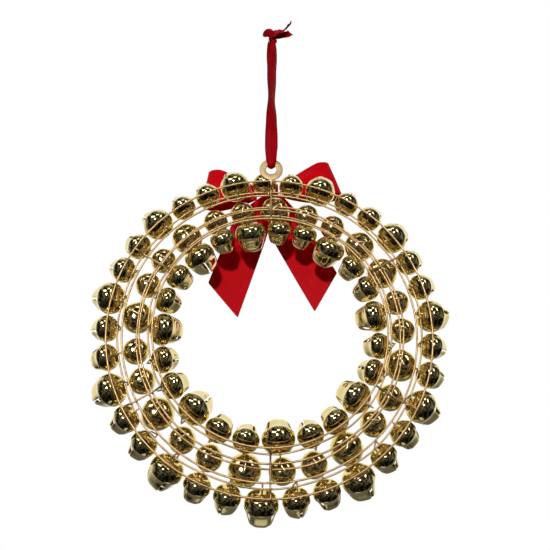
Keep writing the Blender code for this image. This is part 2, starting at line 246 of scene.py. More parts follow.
def metal(name, place_noise, stops, rough_noise, rough):
    """A metal whose colour and roughness each vary with a noise. Returns its nodes, its place and the noise
    that sets its roughness.
    """
    n = Nodes(bpy.data.materials.new(name))
    place = n.object_place()
    tone = n.noise(place, *place_noise)
    grain = n.noise(place, *rough_noise) if rough_noise else tone
    n.put(n.shader, "Base Color", n.ramp(tone, *stops))
    n.put(n.shader, "Metallic", 1.0)
    n.put(n.shader, "Roughness", n.ramp(grain, *rough))
    return n, place, grain


def gold_plate():
    """Polished gold plating on pressed sheet: near a mirror, with faint ripple, haze and fine scratches."""
    n = Nodes(bpy.data.materials.new("gold_plate"))
    place = n.object_place()
    haze = n.noise(place, 130.0, 4.0, 0.6)
    scratch = n.noise(n.object_place((2600, 260, 700)), 1.0, 2.0)
    n.put(n.shader, "Base Color", n.ramp(haze, (0.30, (0.78, 0.635, 0.28)), (0.70, (0.87, 0.745, 0.37))))
    n.put(n.shader, "Metallic", 1.0)
    wear = n.math("MULTIPLY_ADD", haze, 0.10, 0.015)
    line = n.ramp(scratch, (0.60, 0.0), (0.72, 0.09))
    n.put(n.shader, "Roughness", n.math("ADD", wear, line))
    ripple = n.bump(n.noise(place, 210.0, 1.0), 0.20, 0.00022)
    n.put(n.shader, "Normal", n.bump(scratch, 0.05, 0.00004, ripple))
    return n.material


def shank_wire():
    """The bright bent wire of a bell's loop."""
    stops = (0.3, (0.78, 0.59, 0.30)), (0.7, (0.88, 0.71, 0.42))
    return metal("shank_wire", (700.0,), stops, (900.0,), ((0.3, 0.22), (0.7, 0.38)))[0].material


def loose_ball():
    """The plain steel ball inside a bell."""
    stops = (0.3, (0.38, 0.37, 0.36)), (0.7, (0.56, 0.55, 0.53))
    return metal("loose_ball", (500.0,), stops, (1200.0,), ((0.3, 0.24), (0.7, 0.42)))[0].material


def drawn_wire():
    """Copper toned gold wire with fine drawing lines and small dull patches."""
    stops = (0.30, (0.50, 0.31, 0.13)), (0.72, (0.66, 0.44, 0.20))
    n, _, grain = metal("drawn_wire", (160.0, 3.0), stops, (2400.0,), ((0.25, 0.34), (0.75, 0.46)))
    n.put(n.shader, "Normal", n.bump(grain, 0.12, 0.00005))
    return n.material


def weld_metal():
    """The beads at the joints: the same plating over a rough, slightly browned weld."""
    stops = (0.35, (0.47, 0.31, 0.13)), (0.65, (0.82, 0.62, 0.36))
    n, place, _ = metal("weld_metal", (420.0, 4.0, 0.65), stops, None, ((0.3, 0.48), (0.7, 0.30)))
    n.put(n.shader, "Normal", n.bump(n.noise(place, 1500.0, 3.0), 0.35, 0.00012))
    return n.material


def washer_metal():
    """A stamped washer, plated over its grainy sheet, which gives it a matt sparkle."""
    stops = (0.3, (0.50, 0.36, 0.18)), (0.7, (0.62, 0.46, 0.25))
    n, _, grain = metal("washer_metal", (240.0, 3.0), stops, (2200.0, 3.0, 0.7), ((0.3, 0.66), (0.7, 0.50)))
    n.put(n.shader, "Normal", n.bump(grain, 0.55, 0.00012))
    return n.material


# The ribbon's weft ribs repeat at this distance, and its woven edge is this wide in millimetres.
RIB_SPACING = 0.00042
WOVEN_EDGE = (0.55, 0.85)


def satin(name, deep, bright, sheen):
    """Woven satin ribbon: fine weft ribs across it, long floats along it, and a firmer woven edge."""
    n = Nodes(bpy.data.materials.new(name))
    uv = n.add("ShaderNodeUVMap", uv_map="ribbon").outputs["UV"]
    split = n.add("ShaderNodeSeparateXYZ", Vector=uv)
    along, across = split.outputs["X"], split.outputs["Y"]
    ribs = n.math("SINE", n.math("MULTIPLY", along, math.tau / RIB_SPACING))
    thread = n.noise(n.scaled(uv, (900, 5200, 1)), 1.0, 2.0, 0.6)
    tone = n.noise(n.scaled(uv, (60, 420, 1)), 1.0, 3.0, 0.55)
    # across holds the distance in metres from the nearer edge of the ribbon.
    edge = n.ramp(n.math("MULTIPLY", across, 1000.0), (0.0, 1.0), (WOVEN_EDGE[0], 1.0), (WOVEN_EDGE[1], 0.0))
    mixed = n.ramp(tone, (0.30, deep), (0.70, bright))
    darker = n.add("ShaderNodeMix", data_type="RGBA", blend_type="MULTIPLY")
    n.put(darker, "Factor", n.math("MULTIPLY", edge, 0.35))
    n.put(darker, 6, mixed)
    n.put(darker, 7, (0.45, 0.40, 0.42, 1))
    n.put(n.shader, "Base Color", darker.outputs[2])
    n.put(n.shader, "Roughness", n.ramp(thread, (0.25, 0.42), (0.75, 0.60)))
    n.put(n.shader, "Sheen Weight", sheen)
    n.put(n.shader, "Sheen Roughness", 0.45)
    n.put(n.shader, "Sheen Tint", (1.0, 0.35, 0.35, 1))
    n.put(n.shader, "Specular IOR Level", 0.04)
    n.put(n.shader, "Anisotropic", 0.4)
    weave = n.math("ADD", n.math("MULTIPLY", ribs, 0.35), n.math("MULTIPLY", edge, 0.8))
    normal = n.bump(weave, 0.30, 0.00006)
    n.put(n.shader, "Normal", n.bump(thread, 0.25, 0.00007, normal))
    return n.material


GOLD = gold_plate()
SHANK = shank_wire()
BALL = loose_ball()
WIRE = drawn_wire()
WELD = weld_metal()
WASHER = washer_metal()
# The hanger's satin is a darker copy of the bow's satin. Its darker colour is painted shade, standing in for
# the shade on the hanger and in its folds.
HANGER_PAINTED_SHADE_SATIN = satin("hanger_painted_shade_satin", (0.280, 0.0003, 0.0030), (0.440, 0.0006, 0.0055), 0.02)
BOW_SATIN = satin("bow_satin", (0.560, 0.0003, 0.0050), (0.680, 0.0005, 0.0070), 0.0)


# ---------------------------------------------------------------- mesh helpers

STILL = Matrix.Identity(4)


def mesh_from(name, points, faces, material):
    mesh = bpy.data.meshes.new(name)
    mesh.from_pydata([tuple(p) for p in points], [], faces)
    mesh.materials.append(material)
    mesh.shade_smooth()
    return mesh


def turn_out(mesh):
    work = bmesh.new()
    work.from_mesh(mesh)
    bmesh.ops.recalc_face_normals(work, faces=work.faces)
    work.to_mesh(mesh)
    work.free()


def piece(name, mesh, matrix=STILL):
    made = bpy.data.objects.new(name, mesh)
    bpy.context.scene.collection.objects.link(made)
    made.matrix_world = matrix
    return made


def settle(made, body, slot, *nodes):
    """Puts a finished piece on its CAD body and hides the nodes it stands for. Its material slot is not used.
    """
    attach(made, body)
    if nodes:
        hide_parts(*nodes)
    return made


def thickened(name, mesh, thickness, offset):
    """A sheet's mesh with its thickness, subdivided once."""
    made = piece("guide", mesh)
    thick = made.modifiers.new("thickness", "SOLIDIFY")
    thick.thickness, thick.offset = thickness, offset
    fine = made.modifiers.new("fine", "SUBSURF")
    fine.levels = fine.render_levels = 1
    graph = bpy.context.evaluated_depsgraph_get()
    result = bpy.data.meshes.new_from_object(made.evaluated_get(graph))
    bpy.data.objects.remove(made)
    result.name = name
    return result


def joined(name, parts):
    """One mesh of several (mesh, matrix) parts, each keeping its own materials."""
    work = bmesh.new()
    materials = []
    for mesh, matrix in parts:
        start_faces, start_verts = len(work.faces), len(work.verts)
        work.from_mesh(mesh)
        work.faces.ensure_lookup_table()
        work.verts.ensure_lookup_table()
        bmesh.ops.transform(work, matrix=matrix, verts=work.verts[start_verts:])
        slots = []
        for used in mesh.materials:
            if used not in materials:
                materials.append(used)
            slots.append(materials.index(used))
        for face in work.faces[start_faces:]:
            face.material_index = slots[face.material_index]
    made = bpy.data.meshes.new(name)
    work.to_mesh(made)
    work.free()
    for used in materials:
        made.materials.append(used)
    made.shade_smooth()
    return made


def bridge(faces, first, second, closed=True):
    """Quads between two loops of point numbers."""
    count = len(first)
    for i in range(count if closed else count - 1):
        j = (i + 1) % count
        faces.append((first[i], first[j], second[j], second[i]))


def smooth_route(points, spacing):
    """Points a given distance apart along a Catmull-Rom curve through the given ones."""
    points = [Vector(p) for p in points]
    fine = []
    for i in range(len(points) - 1):
        p0, p1 = points[max(i - 1, 0)], points[i]
        p2, p3 = points[i + 1], points[min(i + 2, len(points) - 1)]
        steps = max(2, math.ceil((p2 - p1).length / spacing))
        for k in range(steps):
            t = k / steps
            fine.append(
                0.5 * (2 * p1 + (p2 - p0) * t + (2 * p0 - 5 * p1 + 4 * p2 - p3) * t**2
                       + (3 * p1 - p0 - 3 * p2 + p3) * t**3)
            )
    return fine + [points[-1]]


def tube(route, radius, sides, closed):
    """Points and faces of a round tube along a route, with rounded ends unless it is closed."""
    points, faces, loops = [], [], []
    count = len(route)
    side = None
    sections = []
    for i, centre in enumerate(route):
        before = route[(i - 1) % count] if closed or i else centre
        after = route[(i + 1) % count] if closed or i < count - 1 else centre
        along = (after - before).normalized()
        if side is None:
            side = along.orthogonal().normalized()
        side = (side - along * side.dot(along)).normalized()
        sections.append((centre, along, side.copy(), radius))
    if not closed:
        # Two smaller sections past each end round it off.
        for end, sign in ((0, -1), (-1, 1)):
            centre, along, side, _ = sections[end]
            caps = [
                (centre + along * sign * radius * math.sin(t), along, side, radius * math.cos(t))
                for t in (math.radians(40), math.radians(72))
            ]
            sections = list(reversed(caps)) + sections if end == 0 else sections + caps
    for centre, along, side, size in sections:
        other = along.cross(side)
        loops.append(range(len(points), len(points) + sides))
        for k in range(sides):
            turn = math.tau * k / sides
            points.append(centre + size * (math.cos(turn) * side + math.sin(turn) * other))
    for first, second in zip(loops, loops[1:]):
        bridge(faces, first, second)
    if closed:
        last, start = list(loops[-1]), list(loops[0])
        shift = min(range(sides), key=lambda k: (points[last[0]] - points[start[k]]).length)
        bridge(faces, last, start[shift:] + start[:shift])
    else:
        faces += [tuple(loops[0]), tuple(loops[-1])]
    return points, faces


def tube_mesh(name, route, radius, sides, material, closed=False):
    mesh = mesh_from(name, *tube(route, radius, sides, closed), material)
    turn_out(mesh)
    return mesh


def sphere(name, radius, material, placed=None):
    """A ball, or another rounded mass where placed gives each point's place."""
    work = bmesh.new()
    bmesh.ops.create_icosphere(work, subdivisions=3, radius=radius)
    if placed:
        for vert in work.verts:
            vert.co = placed(vert.co)
    mesh = bpy.data.meshes.new(name)
    work.to_mesh(mesh)
    work.free()
    mesh.materials.append(material)
    mesh.shade_smooth()
    return mesh


# How uneven a weld bead is, and how fine its lumps are.
LUMP_HEIGHT = 0.16
LUMP_SCALE = 1.9


def bead(centre, sizes, axes, seed):
    """A weld bead: a lumpy rounded mass, its three half sizes lying along the given axes."""
    def placed(point):
        lump = 1 + LUMP_HEIGHT * noise.noise(point * LUMP_SCALE + Vector((seed * 3.7, seed, 0)))
        return centre + sum((axis * size * k for axis, size, k in zip(axes, sizes, point * lump)), Vector())

    return sphere("bead", 1.0, WELD, placed)


# ---------------------------------------------------------------- bells

PETAL_COLUMNS = 8
# Heights on the dome, as degrees from its pole, and rows down the petals, as degrees from the rim.
DOME_ROWS = (11, 24, 38, 52, 66, 79, 86)
PETAL_ROWS = (0.5, 2.5, 7, 15, 26, 38, 50, 61, 70, 77, 82, 86.5)
# The dome: the power that fills its shoulder out (2 is a sphere), and its height. Heights, lengths and widths
# from here to the slot's are shares of the bell's radius.
DOME_FULLNESS = 2.9
DOME_HEIGHT = 0.86
# The petals: the powers that square their section and flatten their ends, their depth below the rim, how much
# their reach shrinks for each radius of depth, and how fast the section turns from round to square.
PETAL_SQUARENESS = 3.6
END_FLATNESS = 4.0
END_HEIGHT = 1.06
PETAL_TAPER = 0.17
SQUARING_RATE = 2.2
PETAL_CROWN = 0.02
# They are bent out of the dome at a shoulder, which draws them in within a short length.
SHOULDER = 0.035
SHOULDER_LENGTH = 0.16
# The slot between two petals: its half width at the round top and at its end, and its length.
SLOT_WIDEST = 0.115
SLOT_END = 0.060
SLOT_LENGTH = 1.3
SLOT_LIMIT = math.radians(38)
# The wire loop: half its width and the wire's radius for each size, its height over the threading ring's
# middle, and how far its feet reach into the dome.
STAPLE_HALF = {"L": 0.0046, "S": 0.0038}
STAPLE_WIRE = {"L": 0.00074, "S": 0.00064}
STAPLE_TOP = 0.0021
STAPLE_FOOT = 0.0016
# The loose ball's radius, and how far from the bell's centre it lies, as shares of the bell's radius.
BALL_SIZE = 0.24
BALL_REST = 0.60
# The turns at which shells are made, as shares of a petal, the most that a bell turns on its own axis before
# its loop meets the ring, and the most that a small bell leans from its row.
PETAL_TURNS = (0.50, 0.40, 0.62, 0.29)
BELL_TURN = 52.0
SMALL_BELL_LEAN = 1.0


def slot_half_width(below):
    """Half the slot's width at an arc length below its round top, both as shares of the bell's radius."""
    width = SLOT_WIDEST + (SLOT_END - SLOT_WIDEST) * min(1.0, below / SLOT_LENGTH)
    if below < SLOT_WIDEST:
        width = min(width, math.sqrt(max(0.0, SLOT_WIDEST**2 - (SLOT_WIDEST - below) ** 2)))
    return width


def petal_profile(angle):
    """(distance from the axis, height below the rim) at an angle below the rim."""
    turn = math.radians(angle)
    power = 2 / END_FLATNESS
    down = END_HEIGHT * math.sin(turn) ** power
    return math.cos(turn) ** power * (1 - PETAL_TAPER * down), down


def squared(turn, share):
    """How far a round section is drawn in at this angle so that each petal is nearly flat."""
    n = 2 + (PETAL_SQUARENESS - 2) * min(1.0, share)
    c, s = abs(math.cos(turn)), abs(math.sin(turn))
    corner = math.sqrt(2) * 2 ** (-1 / n)
    return (c**n + s**n) ** (-1 / n) / corner


def shell_mesh(size, turn_share):
    """The pressed shell: a dome and four petals with slots between them. turn_share turns the petals."""
    radius = BELL_R[size]
    centre = radius + LOOP_STAND
    turned = math.radians(90 * turn_share)
    points = [Vector((0, 0, centre - radius * DOME_HEIGHT))]
    faces = []
    columns = 4 * PETAL_COLUMNS
    rows = []
    for angle in (*DOME_ROWS, 90):
        a = math.radians(angle)
        full = (math.sin(a) ** DOME_FULLNESS + math.cos(a) ** DOME_FULLNESS) ** (-1 / DOME_FULLNESS)
        reach, height = radius * full * math.sin(a), radius * full * math.cos(a) * DOME_HEIGHT
        rows.append(range(len(points), len(points) + columns))
        for i in range(columns):
            t = math.tau * i / columns + turned
            points.append(Vector((reach * math.cos(t), reach * math.sin(t), centre - height)))
    for i in range(columns):
        faces.append((0, rows[0][i], rows[0][(i + 1) % columns]))
    for first, second in zip(rows, rows[1:]):
        bridge(faces, first, second)
    rim = list(rows[-1])
    for quarter in range(4):
        previous = [rim[(quarter * PETAL_COLUMNS + i) % columns] for i in range(PETAL_COLUMNS + 1)]
        below, last = 0.0, (1.0, 0.0)
        for angle in PETAL_ROWS:
            across, down = petal_profile(angle)
            below += math.hypot(across - last[0], down - last[1])
            last = (across, down)
            gap = math.asin(min(0.97, slot_half_width(below) / across))
            gap = min(gap, SLOT_LIMIT)
            current = list(range(len(points), len(points) + PETAL_COLUMNS + 1))
            for i in range(PETAL_COLUMNS + 1):
                share = 2 * i / PETAL_COLUMNS - 1
                t = math.pi / 4 + share * (math.pi / 4 - gap) + quarter * math.pi / 2
                reach = radius * across * squared(t - math.pi / 4, below * SQUARING_RATE)
                reach -= radius * SHOULDER * min(1.0, below / SHOULDER_LENGTH)
                sink = PETAL_CROWN * share**2 * math.sin(math.radians(angle))
                points.append(Vector((
                    reach * math.cos(t + turned),
                    reach * math.sin(t + turned),
                    centre + radius * (down - sink),
                )))
            bridge(faces, previous, current, closed=False)
            previous = current
    mesh = mesh_from("shell", points, faces, GOLD)
    turn_out(mesh)
    return thickened(f"shell_{size}", mesh, SHEET_METAL, -1)


def staple_route(size):
    """The bell's wire loop: up out of the dome, square over the threading ring and back."""
    wide, top = STAPLE_HALF[size], STAPLE_TOP
    foot = LOOP_STAND + BELL_R[size] * (1 - DOME_HEIGHT) + STAPLE_FOOT
    return smooth_route(
        [
            (0, -wide * 0.96, foot), (0, -wide, 0.0006), (0, -wide * 0.97, -top * 0.70),
            (0, -wide * 0.80, -top), (0, wide * 0.80, -top), (0, wide * 0.97, -top * 0.70),
            (0, wide, 0.0006), (0, wide * 0.96, foot),
        ],
        0.0007,
    )


def bell_parts():
    """The shell in a few turns, the loop and the ball, for each size."""
    made = {}
    for size in "LS":
        shells = [shell_mesh(size, share) for share in PETAL_TURNS]
        loop = tube_mesh(f"loop_{size}", staple_route(size), STAPLE_WIRE[size], 8, SHANK)
        made[size] = (shells, loop, sphere("ball", BELL_R[size] * BALL_SIZE, BALL))
    return made


def add_bells():
    """Every bell with its loop, and its ball lying at the lowest place inside it."""
    rng = random.Random(12)
    parts = bell_parts()
    for row_name, row in ROWS.items():
        counts = {"L": 0, "S": 0}
        for size, angle in bell_angles(row):
            counts[size] += 1
            number = counts[size]
            change = rng.uniform(-SMALL_BELL_LEAN, SMALL_BELL_LEAN) if size == "S" else 0.0
            matrix = bell_matrix(row, size, angle, change, rng.uniform(-BELL_TURN, BELL_TURN))
            shells, loop, ball = parts[size]
            radius = BELL_R[size]
            down = matrix.to_3x3().inverted() @ Vector((0, 0, -1))
            rest = Vector((0, 0, radius + LOOP_STAND)) + down * radius * BALL_REST
            bell = joined(
                "bell",
                [
                    (rng.choice(shells), STILL),
                    (loop, STILL),
                    (ball, Matrix.Translation(rest)),
                ],
            )
            if size == "L":
                node = f"{row_name}_bell_{number:02d}"
                made = piece(f"{row_name}_large_bell_{number:02d}", bell, matrix)
                settle(made, node, "polished_gold", node)
            else:
                made = piece(f"{row_name}_small_bell_{number:02d}", bell, matrix)
                settle(made, "wreath", "polished_gold")


# ---------------------------------------------------------------- frame

RING_STEPS = 220
# How far the wire wanders from a true circle: the frame's rings, and the looser threading rings.
FRAME_WANDER = 0.00012
THREADING_WANDER = 0.0018
# The clock angle at which each frame ring's ends meet in a weld, and the weld's three half sizes.
RING_WELD_ANGLES = (201.0, 75.0, 312.0, 158.0)
RING_WELD = (0.0016, 0.0011, 0.0011)


def ring_route(radius, depth, wobble, seed):
    """A ring that wanders a little from a true circle, as bent wire does."""
    route = []
    for i in range(RING_STEPS):
        angle = 360 * i / RING_STEPS
        turn = math.radians(angle)
        place = Vector((math.cos(turn) * 2.4, math.sin(turn) * 2.4, seed))
        aside, ahead = noise.noise(place), noise.noise(place + Vector((9, 0, 0)))
        route.append(in_wreath(angle, radius + wobble * aside, depth + wobble * ahead))
    return route


def add_rings():
    """The frame's rings, each with the bead where its two ends were welded, and the threading rings."""
    for number, (name, radius, depth) in enumerate(FRAME_RINGS):
        route = ring_route(radius, depth, FRAME_WANDER, number)
        wire = tube_mesh(name + "_wire", route, WIRE_R, 12, WIRE, closed=True)
        angle = RING_WELD_ANGLES[number]
        axes = (outward(angle + 90), outward(angle), FORWARD)
        weld = bead(in_wreath(angle, radius, depth), RING_WELD, axes, number)
        mesh = joined(name + "_look", [(wire, STILL), (weld, STILL)])
        settle(piece(name + "_wire", mesh), "wreath", "gold_wire", name)
    for number, (row_name, row) in enumerate(ROWS.items()):
        route = ring_route(row["ring_r"], row["depth"], THREADING_WANDER, number + 5.0)
        mesh = tube_mesh(f"{row_name}_threading", route, WIRE_R * 0.94, 12, WIRE, closed=True)
        made = piece(f"{row_name}_threading_ring", mesh)
        settle(made, "wreath", "gold_wire", f"{row_name}_row_small_bells")


def strut_place(angle, radius):
    """The strut's centre line at a radius."""
    for (outer, outer_depth), (inner, inner_depth) in zip(STRUT_ROUTE, STRUT_ROUTE[1:]):
        if inner <= radius <= outer:
            share = (outer - radius) / (outer - inner)
            return in_wreath(angle, radius, outer_depth + (inner_depth - outer_depth) * share)
    raise ValueError(radius)


def add_struts():
    """Each strut with a weld bead wherever it meets a ring."""
    for hour in STRUT_HOURS:
        angle = hour % 12 * 30
        route = smooth_route([in_wreath(angle, radius, depth) for radius, depth in STRUT_ROUTE], 0.0008)
        parts = [(tube_mesh("strut", route, WIRE_R * 0.97, 12, WIRE), STILL)]
        axes = (outward(angle), outward(angle + 90), FORWARD)
        for number, (_, radius, depth) in enumerate(FRAME_RINGS):
            near = strut_place(angle, radius)
            ring = in_wreath(angle, radius, depth)
            reach = (ring - near).length / 2
            sizes = (0.00125, 0.00150, reach + 0.00095)
            parts.append((bead((near + ring) / 2, sizes, axes, hour + number * 1.3), STILL))
        made = piece(f"strut_{hour}_wire", joined(f"strut_{hour}_look", parts))
        settle(made, "wreath", "gold_wire", f"strut_{hour}")


# The washer's hole as a share of its radius, half its thickness, its rounded edge, and its weld's half sizes.
WASHER_HOLE = 0.455
WASHER_HALF = 0.0007
WASHER_EDGE = 0.00028
WASHER_WELD = (0.0032, 0.0011, 0.0010)
WASHER_STEPS = 96


def add_washer():
    """The washer, with the rounded edge that stamping leaves on one face, and its weld."""
    low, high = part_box("hanging_washer")
    centre = (low + high) / 2
    radius = (high.x - low.x) / 2
    hole, half, edge = radius * WASHER_HOLE, WASHER_HALF, WASHER_EDGE
    profile = [
        (radius - edge, half), (radius - edge * 0.3, half - edge * 0.3), (radius, half - edge),
        (radius, -half + edge), (radius - edge * 0.3, -half + edge * 0.3), (radius - edge, -half),
        (hole + edge, -half), (hole + edge * 0.3, -half + edge * 0.3), (hole, -half + edge),
        (hole, half - edge), (hole + edge * 0.3, half - edge * 0.3), (hole + edge, half),
    ]
    points, faces, loops = [], [], []
    for across, back in profile:
        loops.append(range(len(points), len(points) + WASHER_STEPS))
        for i in range(WASHER_STEPS):
            t = math.tau * i / WASHER_STEPS
            points.append(centre + (RIGHT * math.cos(t) + UP * math.sin(t)) * across + REAR * back)
    for i in range(len(loops)):
        bridge(faces, loops[i], loops[(i + 1) % len(loops)])
    mesh = mesh_from("washer", points, faces, WASHER)
    turn_out(mesh)
    mesh.set_sharp_from_angle(angle=math.radians(50))
    ring_top = in_wreath(0, FRAME_RINGS[0][1], 0)
    foot = centre - UP * radius
    weld = bead((ring_top + foot) / 2, WASHER_WELD, (RIGHT, UP, REAR), 4.0)
    sharp = joined("washer_look", [(mesh, STILL), (weld, STILL)])
    sharp.set_sharp_from_angle(angle=math.radians(50))
    settle(piece("hanging_washer_stamped", sharp), "wreath", "gold_wire", "hanging_washer")


# ---------------------------------------------------------------- ribbons

def ribbon_mesh(name, grid, lengths, distances, thickness, material):
    """A ribbon from rows of points. lengths gives each row's place along it, distances each column's place
    from the nearer edge, and both go to the material through the UV map."""
    points = [p for row in grid for p in row]
    count = len(grid[0])
    faces = []
    for i in range(len(grid) - 1):
        first = range(i * count, (i + 1) * count)
        bridge(faces, first, range((i + 1) * count, (i + 2) * count), closed=False)
    mesh = mesh_from(name, points, faces, material)
    layer = mesh.uv_layers.new(name="ribbon")
    for polygon in mesh.polygons:
        for loop in polygon.loop_indices:
            row, column = divmod(mesh.loops[loop].vertex_index, count)
            layer.data[loop].uv = (lengths[row], distances[column])
    return thickened(name, mesh, thickness, 0)


def running_lengths(points):
    found = [0.0]
    for first, second in zip(points, points[1:]):
        found.append(found[-1] + (second - first).length)
    return found


def eased(table, at):
    """A value read from (place, value) pairs in rising order, with a smooth step between neighbours."""
    for (x0, y0), (x1, y1) in zip(table, table[1:]):
        if at <= x1:
            share = max(0.0, min(1.0, (at - x0) / (x1 - x0)))
            return y0 + (y1 - y0) * share * share * (3 - 2 * share)
    return table[-1][1]


def edge_distances(width, columns):
    return [width * min(i, columns - i) / columns for i in range(columns + 1)]


HANGER_WIDTH = 0.0120
HANGER_DROP = 0.1325
HANGER_THICK = 0.00030
# The radius of the ribbon's turn under the washer, and how far the legs reach above the hook, into the knot.
BIGHT_R = 0.0022
LEG_RISE = 0.004
LEG_STEPS = 46
# By height below the hook: how far round the two legs are twisted, how far each stands from the middle, and
# how much of its width a leg keeps where it is gathered.
HANGER_TWIST = (
    (-0.006, 52), (0.012, 44), (0.035, 50), (0.060, 66), (0.084, 36), (0.106, 8), (0.120, 0), (0.14, 0),
)
HANGER_GAP = (
    (-0.006, 0.0008), (0.0, 0.0022), (0.006, 0.0026), (0.030, 0.0013), (0.095, 0.0011), (0.126, 0.0022),
)
HANGER_GATHER = (
    (-0.006, 0.60), (0.004, 0.72), (0.020, 0.90), (0.045, 0.96), (0.112, 1.0), (0.124, 0.86), (0.1325, 0.62),
)


def add_hanger():
    """The ribbon loop: two legs twisted together, through the washer's hole, gathered where they turn."""
    columns = 10
    leg_length = HANGER_DROP - BIGHT_R + LEG_RISE
    levels = [-LEG_RISE + leg_length * i / LEG_STEPS for i in range(LEG_STEPS + 1)]
    grid, middle = [], []

    def section(side, level, offset, normal, height):
        twist = math.radians(eased(HANGER_TWIST, level))
        width = HANGER_WIDTH * eased(HANGER_GATHER, level)
        cup = 0.35 * math.sqrt(max(0.0, HANGER_WIDTH**2 - width**2)) + 0.0007
        along_width = Vector((math.cos(twist), math.sin(twist), 0))
        centre = Vector((0, 0, height)) + offset
        row = []
        for k in range(columns + 1):
            share = 2 * k / columns - 1
            bulge = cup * (1 - share**2) * (0.8 + 0.2 * math.cos(3 * share))
            row.append(centre + along_width * share * width / 2 + normal * side * bulge * 0.5)
        grid.append(row)
        middle.append(centre)

    def leg(side, levels):
        for level in levels:
            twist = math.radians(eased(HANGER_TWIST, level))
            normal = Vector((-math.sin(twist), math.cos(twist), 0))
            gap = eased(HANGER_GAP, level)
            section(side, level, normal * side * gap, normal, -level)

    leg(-1, levels)
    for k in range(1, 9):
        t = math.pi * k / 9
        offset = Vector((0, -BIGHT_R * math.cos(t), 0))
        normal = Vector((0, math.cos(t), math.sin(t)))
        section(-1, HANGER_DROP, offset, normal, -HANGER_DROP + BIGHT_R - BIGHT_R * math.sin(t))
    leg(1, list(reversed(levels)))
    lengths = running_lengths(middle)
    name = "hanger_ribbon_satin"
    edges = edge_distances(HANGER_WIDTH, columns)
    mesh = ribbon_mesh(name, grid, lengths, edges, HANGER_THICK, HANGER_PAINTED_SHADE_SATIN)
    made = settle(piece(name, mesh), "hanger", "ribbon", "hanger_ribbon")


def swept_ribbon(name, route, across, width, columns, crown, crumple):
    """Hanging ribbon along a route, each section's width lying along its across vector."""
    grid = []
    count = len(route)
    for i, centre in enumerate(route):
        along = (route[min(i + 1, count - 1)] - route[max(i - 1, 0)]).normalized()
        side = (across[i] - along * across[i].dot(along)).normalized()
        normal = along.cross(side)
        row = []
        for k in range(columns + 1):
            share = 2 * k / columns - 1
            rough = crumple * noise.noise(centre * 180 + Vector((share * 2.1, 0, i * 0.13)))
            row.append(centre + side * share * width[i] / 2 + normal * (crown * (1 - share**2) + rough))
        grid.append(row)
    edges = edge_distances(max(width), columns)
    return ribbon_mesh(name, grid, running_lengths(route), edges, HANGER_THICK, HANGER_PAINTED_SHADE_SATIN)


KNOT_CENTRE = Vector((0, 0, 0.0090))
# The knot is a trefoil with a wider swing than 1, and these are its scales across, in depth and up.
KNOT_SWING = 1.9
KNOT_SCALE = (0.00185, 0.00231, 0.0019)
KNOT_STEPS = 72
# The middle line of each cut end, and the direction of its width.
KNOT_ENDS = (
    (
        "upper", (0.55, 0.25, -0.80),
        ((0.002, 0.0012, 0.010), (-0.005, 0.0030, 0.0120), (-0.0105, 0.0032, 0.0150),
         (-0.0150, 0.0030, 0.0200), (-0.0178, 0.0028, 0.0235)),
    ),
    (
        "lower", (0.10, 0.30, -0.95),
        ((0.002, -0.0012, 0.009), (-0.005, -0.0005, 0.0100), (-0.0110, -0.0008, 0.0118),
         (-0.0160, -0.0004, 0.0130), (-0.0190, 0.0000, 0.0150)),
    ),
)


def add_knot():
    """An overhand knot in the doubled ribbon, and its two cut ends."""
    loop, across = [], []
    turns = [i / KNOT_STEPS for i in range(KNOT_STEPS + 1)]
    for turn in turns:
        t = math.tau * turn
        place = Vector((
            math.sin(t) + KNOT_SWING * math.sin(2 * t),
            -math.sin(3 * t),
            math.cos(t) - KNOT_SWING * math.cos(2 * t),
        ))
        loop.append(KNOT_CENTRE + place * Vector(KNOT_SCALE))
        out = Vector((place.x * 0.25, 1.0, place.z * 0.25 + 0.3 * math.sin(2 * t)))
        across.append(out.normalized())
    widths = [0.0085 + 0.0012 * math.sin(2.6 * math.tau * turn) for turn in turns]
    knot = swept_ribbon("knot", loop, across, widths, 8, crown=0.0026, crumple=0.0009)
    made = settle(piece("hanger_knot_satin", knot), "hanger", "ribbon", "hanger_knot")
    flat = (HANGER_WIDTH, round(running_lengths(loop)[-1], 4))
    for name, side, points in KNOT_ENDS:
        route = smooth_route(points, 0.0009)
        count = len(route)
        widths = [0.0060 + 0.0050 * (i / (count - 1)) ** 0.7 for i in range(count)]
        across = [Vector(side)] * count
        mesh = swept_ribbon(f"knot_end_{name}", route, across, widths, 8, crown=0.0018, crumple=0.0006)
        made = settle(piece(f"hanger_knot_end_{name}", mesh), "hanger", "ribbon")
        flat = (HANGER_WIDTH, round(running_lengths(route)[-1], 4))


BOW_DEPTH = 0.0440
BOW_CENTRE_UP = 0.1540
BOW_RIBBON = 0.0380
BOW_LOOP_START = 0.0120
BOW_LOOP_LENGTH = {"left": 0.0710, "right": 0.0665}
BOW_LOOP_FULLNESS = 0.0110
BOW_LOOP_RISE = {"left": 15.0, "right": 4.0}
TAIL_LENGTH = {"left": 0.1090, "right": 0.1125}
TAIL_CUT = 0.0230
TAIL_SPREAD = {"left": 28.7, "right": 18.0}
# How far a tail's middle shifts to its outer side as it widens, as a share of the added width.
TAIL_SHIFT = {"left": -0.21, "right": 0.27}
BOW_THICK = 0.00042
# The wrap's half sizes: across, front to back, and up.
WRAP_HALF = (0.0088, 0.0052, 0.0118)
WRAP_THICK = 0.0005


def bow_point(right, up, depth):
    """A point of the bow: right of its centre as someone who faces the bow sees it, and up."""
    return CENTRE + RIGHT * right + UP * (BOW_CENTRE_UP + up) + FORWARD * (BOW_DEPTH + depth)


def gathered_width(pinch, folds):
    """(width, fold height) of a ribbon drawn in to a share of its width in a number of folds."""
    width = BOW_RIBBON * pinch
    height = width * math.sqrt(max(0.0, 2 * (1 / pinch**2 - 1))) / (math.tau * folds) * 0.62
    return width, height


